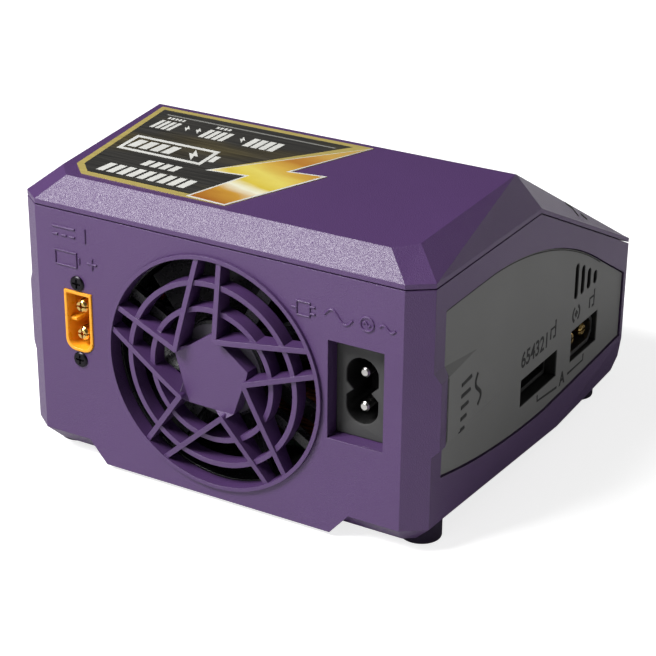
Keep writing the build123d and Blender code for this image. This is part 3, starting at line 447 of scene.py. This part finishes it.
def plane(origin, right, up):
    """Matrix from a plane's own millimetres (right, up, out) to the row frame."""
    right, up = Vector(right).normalized(), Vector(up).normalized()
    m = Matrix((right, up, right.cross(up))).transposed().to_4x4()
    return Matrix.Translation(Vector(origin) * MM) @ m @ Matrix.Scale(MM, 4)


def flat(name, loops, on, lift, thick, material):
    """Flat shape with the given outlines (inner ones are holes), lying on a plane."""
    curve = bpy.data.curves.new(name, "CURVE")
    curve.dimensions = "2D"
    curve.fill_mode = "BOTH"
    curve.extrude = thick / 2
    for loop in loops:
        spline = curve.splines.new("POLY")
        spline.points.add(len(loop) - 1)
        for point, (x, y) in zip(spline.points, loop):
            point.co = (x, y, 0, 1)
        spline.use_cyclic_u = True
    mesh = evaluated_mesh(temporary(name, curve))
    mesh.transform(on @ Matrix.Translation((0, 0, lift + thick / 2)))
    return piece(name, mesh, material, smooth=0)


def strokes(name, lines, on, width, height, material):
    """Rounded lines of one width, standing height above a plane."""
    curve = bpy.data.curves.new(name, "CURVE")
    curve.dimensions = "3D"
    curve.bevel_depth = width / 2
    curve.bevel_resolution = 2
    curve.use_fill_caps = True
    for line in lines:
        closed = line[0] == line[-1]
        points = line[:-1] if closed else line
        spline = curve.splines.new("POLY")
        spline.points.add(len(points) - 1)
        for point, (x, y) in zip(spline.points, points):
            point.co = (x, y, 0, 1)
        spline.use_cyclic_u = closed
    mesh = evaluated_mesh(temporary(name, curve))
    mesh.transform(on @ Matrix.Diagonal((1, 1, height / (width / 2), 1)))
    return piece(name, mesh, material)


PRINT_THICK = 0.04


def figures(name, body_text, on, centre, size, narrow, heavy):
    """Generic numerals or a channel letter, printed on a side panel."""
    data = bpy.data.curves.new(name, "FONT")
    data.body = body_text
    data.size = size
    data.extrude = PRINT_THICK / 2 / narrow
    data.offset = heavy
    data.align_x = "CENTER"
    data.align_y = "CENTER"
    mesh = evaluated_mesh(temporary(name, data))
    mesh.transform(on @ Matrix.Translation((*centre, 0.01)) @ Matrix.Diagonal((narrow, 1, narrow, 1)))
    return piece(name, mesh, M["dark_print_and_shade"], smooth=0)


MITRE = 2.2  # how many widths a corner may move in


def inset(loop, d):
    """A loop moved inwards by d (for loops that run clockwise or anticlockwise)."""
    n = len(loop)
    area = sum(loop[i][0] * loop[(i + 1) % n][1] - loop[(i + 1) % n][0] * loop[i][1] for i in range(n))
    s = 1 if area > 0 else -1
    result = []
    for i in range(n):
        p, q, r = Vector(loop[i - 1]), Vector(loop[i]), Vector(loop[(i + 1) % n])
        a, b = (q - p).normalized(), (r - q).normalized()
        na, nb = Vector((-a.y, a.x)) * s, Vector((-b.y, b.x)) * s
        m = (na + nb) / (1 + na.dot(nb))
        result.append(tuple(q + m * min(d, d * MITRE / max(m.length, 1e-6))))
    return result


REAR_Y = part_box("base_shell")[1].y / MM  # rear face, mm
REAR = plane((0, REAR_Y, 0), (-1, 0, 0), (0, 0, 1))


def side(s, x):
    """Plane at half width x on side s; -1 is channel A. Right is forwards on A and rearwards on B."""
    return plane((s * x, REAR_Y, 0), (0, s, 0), (0, 0, 1))


TOP_START = 4.8  # station of the top face's rear edge
TOP_COS = 0.9977  # cosine of the top face's slope
TOP = plane((0, REAR_Y - TOP_START, 73.6), (-1, 0, 0), (0, -48.2, 3.3))  # rises 3.3 in 48.2 to the ridge

for node in ROUNDED:
    rounded_copy(node)


# ---------------------------------------------------------------- outlines
def arc(cx, cy, r, a0, a1, count=12):
    """Points on a circle from angle a0 to a1, in degrees."""
    turns = [math.radians(a0 + (a1 - a0) * i / count) for i in range(count + 1)]
    return [(cx + r * math.cos(a), cy + r * math.sin(a)) for a in turns]


def arc_through(a, b, c, count):
    """Points on the circle through three points, from a to c."""
    d = 2 * (a[0] * (b[1] - c[1]) + b[0] * (c[1] - a[1]) + c[0] * (a[1] - b[1]))
    sa, sb, sc = (p[0] ** 2 + p[1] ** 2 for p in (a, b, c))
    x = (sa * (b[1] - c[1]) + sb * (c[1] - a[1]) + sc * (a[1] - b[1])) / d
    y = (sa * (c[0] - b[0]) + sb * (a[0] - c[0]) + sc * (b[0] - a[0])) / d
    turns = [math.degrees(math.atan2(p[1] - y, p[0] - x)) for p in (a, c)]
    return arc(x, y, math.hypot(a[0] - x, a[1] - y), *turns, count)


def wave(x0, x1, y, height, count=16):
    """One period of a sine from x0 to x1."""
    return [(x0 + (x1 - x0) * i / count, y + height * math.sin(2 * math.pi * i / count))
            for i in range(count + 1)]


def box_line(x0, x1, y0, y1):
    """A closed rectangle."""
    return [(x0, y1), (x1, y1), (x1, y0), (x0, y0), (x0, y1)]


def bolt(u, w, k):
    """Small generic lightning mark about a point."""
    shape = [(0.9, -2.2), (0.35, -0.3), (1.2, -0.3), (-0.9, 2.2), (-0.35, 0.4), (-1.2, 0.4)]
    return [(u + x * k, w + y * k) for x, y in shape]


def bars(u0, u1, w0, w1, count, gap, lean):
    """A row of slanted bars from u0 to u1."""
    step = (u1 - u0) / count
    return [[(u0 + i * step + lean, w0), (u0 + (i + 1) * step - gap + lean, w0),
             (u0 + (i + 1) * step - gap, w1), (u0 + i * step, w1)] for i in range(count)]


def frame_of(u0, u1, w0, w1, t):
    """The outer and inner loop of a rectangular frame, t wide."""
    return [[(u0, w0), (u1, w0), (u1, w1), (u0, w1)],
            [(u0 + t, w0 + t), (u1 - t, w0 + t), (u1 - t, w1 - t), (u0 + t, w1 - t)]]


# ---------------------------------------------------------------- top sticker
EDGE = [(-45.8, 11.3), (-41.2, 6.9), (-0.4, 6.6), (12.2, 31.4), (3.0, 30.1), (13.6, 51.3), (-48.6, 51.3)]
FIELD = [(-44.1, 12.1), (-40.5, 8.5), (-11.0, 8.4), (-5.3, 23.0), (-15.7, 21.7), (8.6, 49.7), (-46.9, 49.7)]
FLASH = [(-11.3, 7.1), (-0.4, 6.6), (12.2, 31.4), (3.0, 30.1), (13.6, 51.3), (-15.7, 21.7), (-5.3, 23.0)]
RULE = [(-44.2, 46.9), (4.9, 46.9), (5.3, 47.4), (-44.3, 47.4)]
BASE_FILM = 0.17
INK = 0.02  # each printed layer's thickness
FLASH_BORDER = 0.55


def on_top(points):
    """(u, station) to the top plane's own millimetres."""
    return [(u, (station - TOP_START) / TOP_COS) for u, station in points]


def sticker_layer(name, loops, lift, material):
    """A printed layer of the sticker, lift above the top face."""
    return flat(name, [on_top(loop) for loop in loops], TOP, lift, INK, material)


def sticker_marks():
    """Bars, a battery and bolts where the printing is."""
    marks = bars(-38.5, -12.5, 10.4, 15.2, 9, 0.9, -0.9)  # first row: a charge gauge
    marks += bars(-31.0, -20.5, 17.4, 20.6, 4, 0.8, -0.6)  # second row
    marks += frame_of(-43.0, -18.5, 23.6, 32.6, 1.1)  # third row: a battery
    marks += [[(-18.1, 26.3), (-16.6, 26.3), (-16.6, 29.9), (-18.1, 29.9)]]
    marks += bars(-40.6, -27.4, 25.8, 30.4, 4, 0.9, -0.8) + [bolt(-23.4, 28.1, 1.35)]
    for u0, u1, bolt_u in ((-43.2, -36.6, -34.4), (-28.6, -21.0, -31.0), (-15.6, -6.4, -18.0)):  # fourth row
        marks += bars(u0, u1, 38.4, 43.6, 4, 0.55, -0.5) + [bolt(bolt_u, 41.6, 0.8)]
    marks += bars(-42.6, -37.2, 44.8, 46.0, 5, 0.4, 0.0) + bars(-28.0, -23.4, 44.8, 46.0, 4, 0.4, 0.0)
    return marks


base = flat("sticker_base", [on_top(EDGE)], TOP, 0.0, BASE_FILM, M["sticker_print"])
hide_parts("top_sticker")
sticker_layer("sticker_field", [FIELD], BASE_FILM, M["field"])
sticker_layer("sticker_flash_edge", [FLASH], BASE_FILM + INK, M["white_print"])
foil = flash_material(TOP @ Vector((-4, 2, 0)), TOP @ Vector((10, 46, 0)))
sticker_layer("sticker_flash", [inset(FLASH, FLASH_BORDER)], BASE_FILM + 2 * INK, foil)
sticker_layer("sticker_line", [RULE], BASE_FILM + INK, M["grey_print"])
sticker_layer("sticker_marks", sticker_marks(), BASE_FILM + INK, M["white_print"])


# ---------------------------------------------------------------- rear legends, moulded in
def rear_legend(name, lines):
    """Raised generic symbols in the shell's own plastic."""
    strokes(name, lines, REAR, 0.62, 0.34, M["shell_purple"])


direct_current = [[(-45.2, 62.2), (-38.6, 62.2)]]
direct_current += [[(x, 60.2), (x + 1.6, 60.2)] for x in (-45.2, -42.7, -40.2)]
minus = [(-35.6, 63.0), (-35.6, 59.4)]
battery = [box_line(-44.6, -38.4, 52.6, 56.2), [(-37.6, 55.2), (-37.6, 53.6)]]
plus = [[(-35.2, 54.4), (-32.4, 54.4)], [(-33.8, 55.8), (-33.8, 53.0)]]
rear_legend("dc_legend", direct_current + [minus] + battery + plus)
plug = [box_line(23.0, 26.4, 54.9, 58.2), [(23.0, 56.5), (21.6, 56.5)]]
plug += [[(26.4, z), (27.8, z)] for z in (57.4, 55.7)]
source = [arc(41.0, 56.5, 1.7, 0, 360), wave(40.1, 41.9, 56.5, 0.5)]
rear_legend("ac_legend", plug + [wave(30.2, 37.4, 56.5, 1.5)] + source + [wave(44.2, 48.2, 56.5, 0.7)])

# ---------------------------------------------------------------- side legends, printed
PANEL_FACE = 55.2  # half width over the side panels
PORT_LINKS = [[(62.3, 16.6), (62.4, 14.9), (74.2, 13.8)],  # balance port to channel letter
              [(80.6, 14.9), (90.4, 15.0), (90.5, 16.8)]]  # channel letter to output port
PLUS_RING = (84.1, 30.6, 2.1)  # centre and radius of the broken ring round the plus
PORT_ICONS = [
    [(68.6, 29.4), (68.6, 32.0), (71.4, 32.0), (71.4, 33.8)], [(71.4, 32.0), (71.4, 29.4), (70.2, 29.4)],
    [(92.6, 29.0), (92.6, 31.6), (95.4, 31.6), (95.4, 33.4)], [(95.4, 31.6), (95.4, 29.0), (94.2, 29.0)],
    arc(*PLUS_RING, -62, 62), arc(*PLUS_RING, 118, 242),
    [(83.2, 30.6), (85.0, 30.6)], [(84.1, 29.6), (84.1, 31.6)]]
SIDES = ((-1, "a", "A", "654321"), (1, "b", "B", "123456"))


def on_side(lines, s):
    """Lines of (station, height) in the own millimetres of the side plane s."""
    return [[(-s * station, height) for station, height in line] for line in lines]


for s, tag, letter, numbers in SIDES:
    panel = side(s, PANEL_FACE)
    figures("pin_numbers_" + tag, numbers, panel, (-s * 59.5, 29.9), 5.8, 0.92, 0.11)
    figures("channel_letter_" + tag, letter, panel, (-s * 77.3, 15.0), 5.0, 0.9, 0.16)
    strokes("port_links_" + tag, on_side(PORT_LINKS, s), panel, 0.75, 0.05, M["dark_print_and_shade"])
    strokes("port_icons_" + tag, on_side(PORT_ICONS, s), panel, 0.9, 0.06, M["dark_print_and_shade"])


# ---------------------------------------------------------------- marks that follow a flank
def surface(node):
    """Search tree over a CAD node's mesh."""
    mesh = NODES[node].data
    return BVHTree.FromPolygons([v.co for v in mesh.vertices], [f.vertices[:] for f in mesh.polygons])


def drawn(name, lines, target, s, width, lift):
    """Dark round-backed lines of (station, height) points over a flank, met from side s and
    standing lift above it: painted shade for grooves, gaps and engraved marks."""
    curve = bpy.data.curves.new(name, "CURVE")
    curve.dimensions = "3D"
    curve.bevel_depth = width / 2
    curve.bevel_resolution = 3
    curve.use_fill_caps = True
    for line in lines:
        spline = curve.splines.new("POLY")
        spline.points.add(len(line) - 1)
        for point, (station, height) in zip(spline.points, line):
            start = Vector((s * 90, REAR_Y - station, height)) * MM
            place, normal = target.ray_cast(start, Vector((-s, 0, 0)))[:2]
            point.co = (*(place / MM - normal * (width / 2 - lift)), 1)
    mesh = evaluated_mesh(temporary(name, curve))
    mesh.transform(Matrix.Scale(MM, 4))
    # the dark material serves both for print and for painted shade
    return piece(name, mesh, M["dark_print_and_shade"])


# dark lines where the top cover has thin grooves: painted shade standing in for the grooves
GROOVE_SHADES = [[(79.4, 61.6), (80.9, 60.5), (82.4, 59.4), (83.9, 57.1)],
           [(87.0, 56.4), (88.4, 55.3), (89.7, 54.3)]]
# generic marks in place of the pad's engraved legend; their dark colour is painted shade of the engraving
GAUGE = [[(17.0, 26.8 + 2.9 * i), (19.2 + 0.9 * i, 26.8 + 2.9 * i)] for i in range(5)]
SWING = [(26.6 + 1.6 * math.sin(math.pi * i / 9), 29.4 + 0.45 * i) for i in range(19)]
# a dark line round the side panel's outline: painted shade in the gap between the panel and the shell
GAP_SHADE = [(9.8, 18.7 + 0.66 * i) for i in range(62)]  # up the panel's rear edge, then along its top
GAP_SHADE += [(14.0, 59.1), (24.0, 59.2)] + arc_through((34.0, 59.25), (68.0, 53.55), (97.7, 40.05), 30)
for s, tag, _, _ in SIDES:
    panel = surface("side_panel_" + tag)
    drawn("cover_groove_shade_" + tag, GROOVE_SHADES, surface("top_cover"), s, 1.1, 0.16)
    drawn("panel_gap_shade_" + tag, [GAP_SHADE], panel, s, 0.7, 0.05)
    drawn("pad_marks_" + tag, GAUGE + [SWING], panel, s, 1.6, 0.22)

# ---------------------------------------------------------------- stage
bpy.ops.mesh.primitive_plane_add(size=6.0, location=(0, 0, 0))
floor = bpy.context.object
floor.name = "floor"
pale = Nodes("floor_pale")
shade = pale.mix(pale.noise(2.0), (0.56, 0.56, 0.56, 1), (0.58, 0.58, 0.58, 1))
pale.link(shade, pale.bsdf.inputs["Base Color"])
pale.set(Roughness=0.9, Specular_IOR_Level=0.1)
pale.bsdf.inputs["Emission Color"].default_value = (1, 1, 1, 1)
path = pale.add("ShaderNodeLightPath")
glow = pale.remap(path.outputs["Is Camera Ray"], 0.0, 1.0, 0.0, 0.78)
pale.link(glow, pale.bsdf.inputs["Emission Strength"])
floor.data.materials.append(pale.material)

world = bpy.data.worlds.new("studio")
bpy.context.scene.world = world
world.use_nodes = True
tree = world.node_tree
background = tree.nodes["Background"]
background.inputs["Color"].default_value = (1, 1, 1, 1)
seen = tree.nodes.new("ShaderNodeLightPath")
strength = tree.nodes.new("ShaderNodeMapRange")
strength.inputs["To Min"].default_value = 0.05
strength.inputs["To Max"].default_value = 1.0
tree.links.new(seen.outputs["Is Camera Ray"], strength.inputs["Value"])
tree.links.new(strength.outputs["Result"], background.inputs["Strength"])


def softbox(name, at, aim, size, power):
    """Rectangular area light, in watts and metres."""
    data = bpy.data.lights.new(name, "AREA")
    data.shape = "RECTANGLE"
    data.size, data.size_y = size
    data.energy = power
    light = bpy.data.objects.new(name, data)
    bpy.context.scene.collection.objects.link(light)
    light.location = at
    light.rotation_euler = (Vector(aim) - Vector(at)).to_track_quat("-Z", "Y").to_euler()


softbox("key", at=(0.43, 0.64, 0.87), aim=(0, 0.03, 0.05), size=(0.46, 0.36), power=18.5)
softbox("rear_fill", at=(0.35, 1.2, 0.3), aim=(0, 0, 0.04), size=(0.9, 0.4), power=3.2)
softbox("top", at=(0.0, -0.1, 1.3), aim=(0, 0, 0.04), size=(1.4, 1.4), power=0.7)
softbox("front_fill", at=(-1.0, -0.4, 0.16), aim=(-0.05, -0.02, 0.04), size=(0.4, 0.3), power=2.2)
softbox("front_low", at=(-0.08, -1.15, 0.16), aim=(0.0, 0.0, 0.05), size=(0.5, 0.3), power=1.1)
